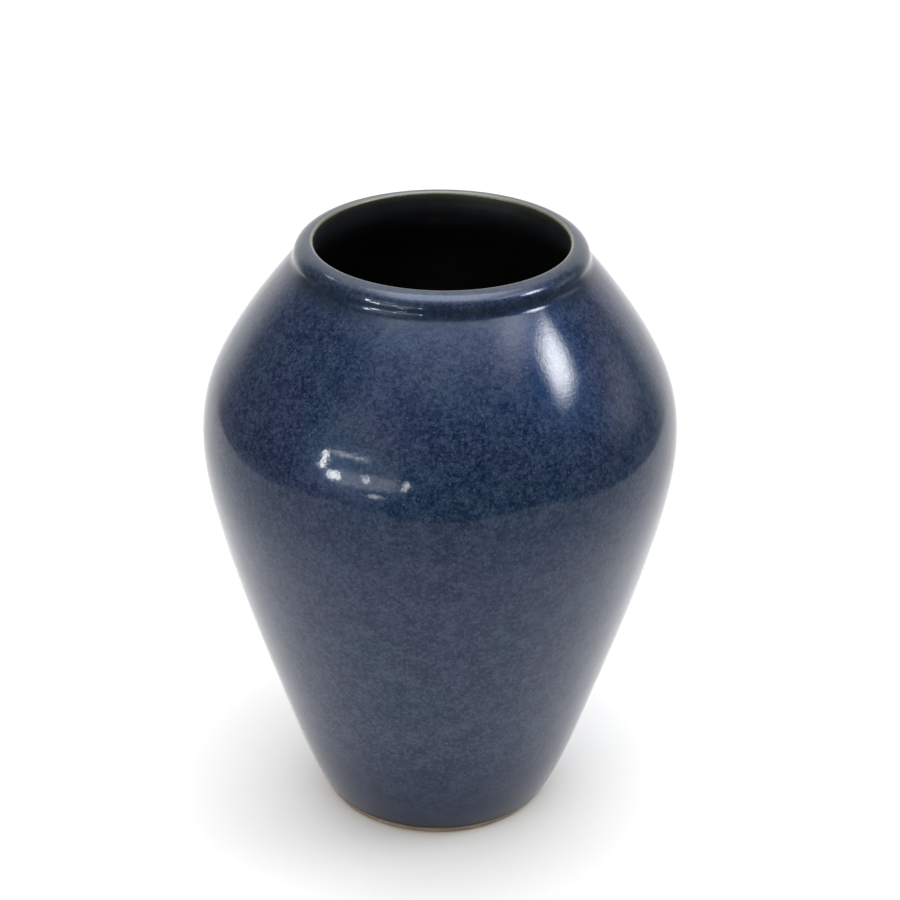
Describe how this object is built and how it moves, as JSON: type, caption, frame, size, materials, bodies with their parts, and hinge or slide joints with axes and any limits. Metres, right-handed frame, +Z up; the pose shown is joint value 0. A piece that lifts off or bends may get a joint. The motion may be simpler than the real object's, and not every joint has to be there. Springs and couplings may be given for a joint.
{
  "type": "flower vase",
  "caption": "Round glazed stoneware vase for cut flowers: wide shoulder, short neck with a rolled lip, body tapering to a bare foot ring.",
  "frame": {"origin": "centre of the foot ring, on the plane that the vase stands on", "axes": "+Z up the vase's axis, through the middle of the mouth; +X and +Y are any two square directions, because the vase is round"},
  "size_m": [0.1844, 0.1844, 0.24],
  "materials": {
    "bare_clay": "unglazed fired stoneware, matt and slightly gritty",
    "blue_glaze": "glossy deep blue glaze with fine paler speckles",
    "liner_glaze": "glossy dark liner glaze"
  },
  "bodies": {
    "root": {"clay_body": "bare_clay", "outer_glaze": "blue_glaze", "inner_glaze": "liner_glaze", "base_glaze": "blue_glaze"}
  },
  "joints": []
}
